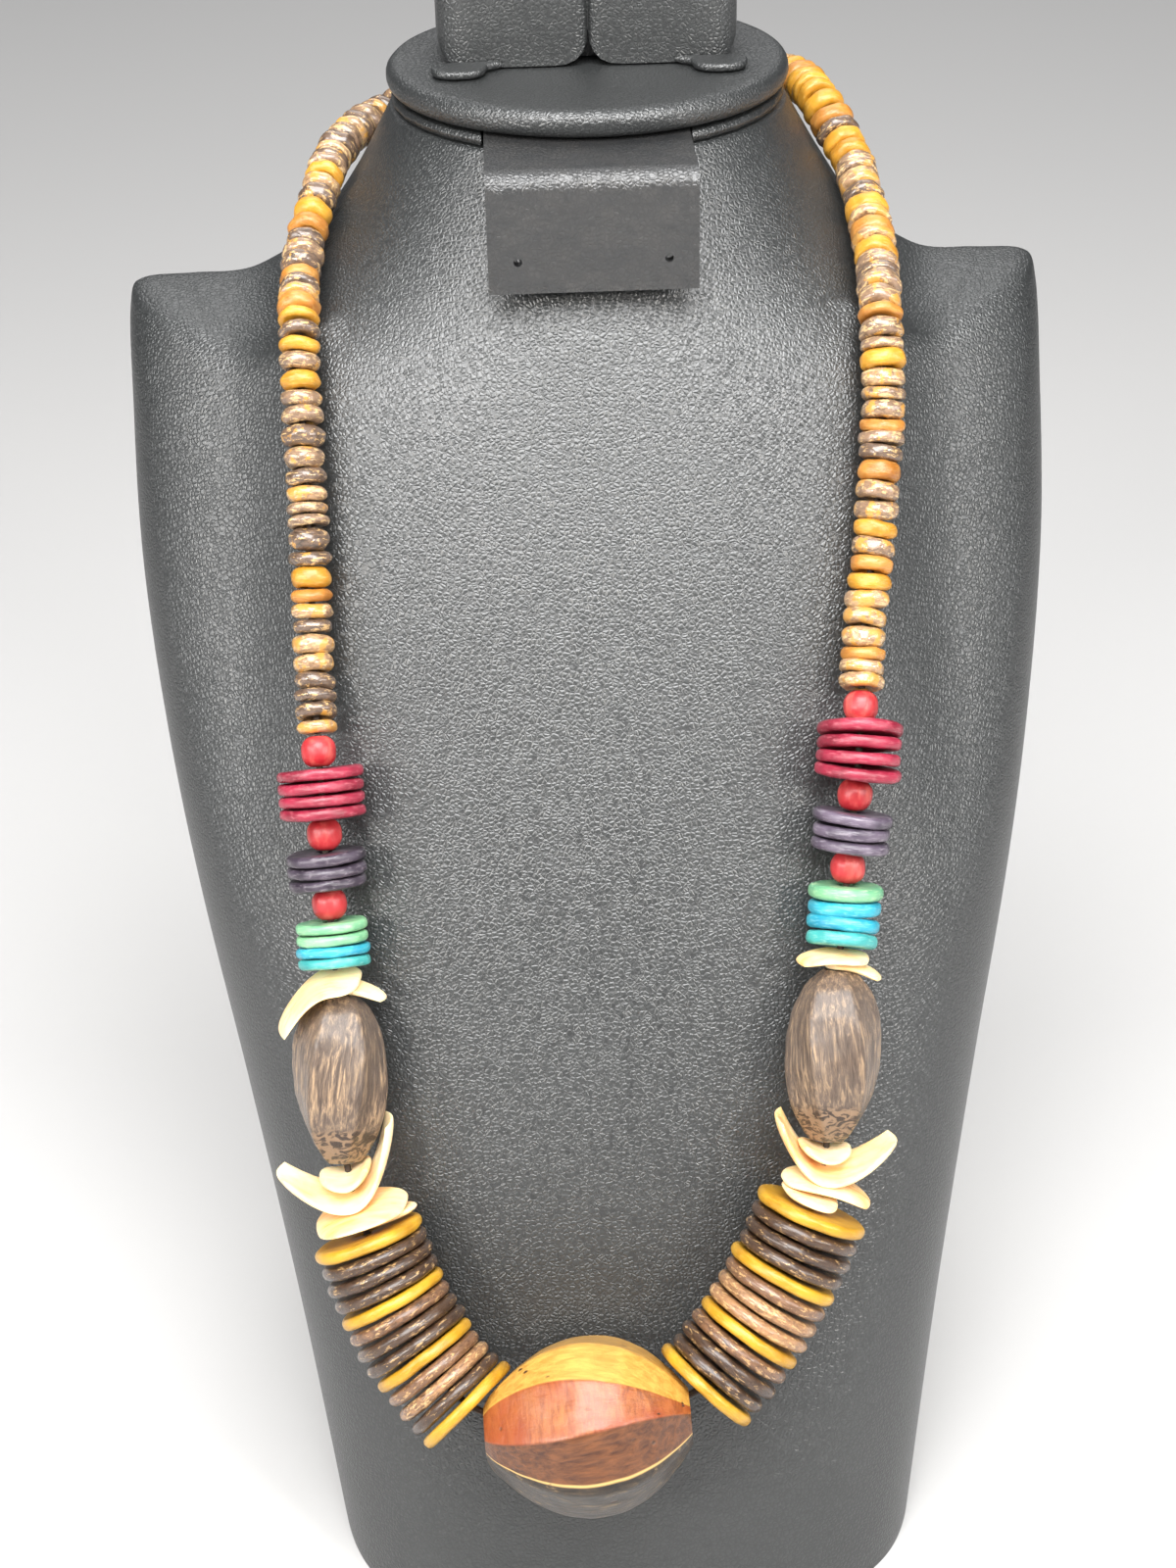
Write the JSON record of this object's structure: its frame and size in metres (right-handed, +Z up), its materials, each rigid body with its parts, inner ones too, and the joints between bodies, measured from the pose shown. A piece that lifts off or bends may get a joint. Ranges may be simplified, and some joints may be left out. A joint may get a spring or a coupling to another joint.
{
  "type": "beaded necklace on a neck bust",
  "caption": "Long single-strand necklace of coconut discs, dyed wood discs, shell chips and carved wood beads round one large centre bead, worn on a plain black neck bust.",
  "frame": {"origin": "middle of the flat underside of the bust", "axes": "+Z up, the front of the bust and the centre bead face -Y, +X to the viewer's right"},
  "size_m": [0.1688, 0.1916, 0.2985],
  "materials": {
    "burgundy_lacquer": "dyed disc, satin",
    "carved_wood": "dark wood with tan streaks, oiled",
    "coco_beads": "polished coconut shell, brown with tan and yellow ones between",
    "coco_disc": "polished coconut shell with tan flecks",
    "laminated_wood": "laminated wood, pale, orange-brown and dark, polished",
    "leatherette": "fine pebbled leatherette, satin",
    "mustard_disc": "dyed disc, low gloss",
    "purple_lacquer": "dyed disc, satin",
    "red_wood": "dyed wood, satin",
    "shell": null,
    "thread": "waxed thread",
    "turquoise_dye": "dyed disc, satin",
    "worn_leatherette": "scuffed leatherette"
  },
  "bodies": {
    "root": {"bust_torso": "leatherette", "neck_ring": "leatherette", "neck_cap": "leatherette", "earring_flap": "worn_leatherette", "display_post": "leatherette", "post_tab_left": "leatherette", "post_tab_right": "leatherette", "big_disc_left_13": "mustard_disc", "big_disc_left_12": "coco_disc", "big_disc_left_11": "coco_disc", "big_disc_left_10": "coco_disc", "big_disc_left_09": "mustard_disc", "big_disc_left_08": "coco_disc", "big_disc_left_07": "coco_disc", "big_disc_left_06": "coco_disc", "big_disc_left_05": "mustard_disc", "big_disc_left_04": "coco_disc", "big_disc_left_03": "coco_disc", "big_disc_left_02": "coco_disc", "big_disc_left_01": "mustard_disc", "carved_bead_left": "carved_wood", "shell_left_top_curl": "shell", "shell_left_top_strip": "shell", "shell_left_inner": "shell", "shell_left_smile": "shell", "shell_left_saddle": "shell", "shell_left_under": "shell", "turquoise_discs_left": "turquoise_dye", "purple_discs_left": "purple_lacquer", "burgundy_discs_left": "burgundy_lacquer", "red_bead_string_left": "red_wood", "coco_string_left": "coco_beads", "big_disc_right_13": "mustard_disc", "big_disc_right_12": "coco_disc", "big_disc_right_11": "coco_disc", "big_disc_right_10": "coco_disc", "big_disc_right_09": "mustard_disc", "big_disc_right_08": "coco_disc", "big_disc_right_07": "coco_disc", "big_disc_right_06": "coco_disc", "big_disc_right_05": "mustard_disc", "big_disc_right_04": "coco_disc", "big_disc_right_03": "coco_disc", "big_disc_right_02": "coco_disc", "big_disc_right_01": "mustard_disc", "carved_bead_right": "carved_wood", "shell_right_top_curl": "shell", "shell_right_top_strip": "shell", "shell_right_inner": "shell", "shell_right_smile": "shell", "shell_right_arch": "shell", "shell_right_plate": "shell", "turquoise_discs_right": "turquoise_dye", "purple_discs_right": "purple_lacquer", "burgundy_discs_right": "burgundy_lacquer", "red_bead_string_right": "red_wood", "coco_string_right": "coco_beads", "centre_bead": "laminated_wood", "front_thread": "thread"}
  },
  "joints": []
}
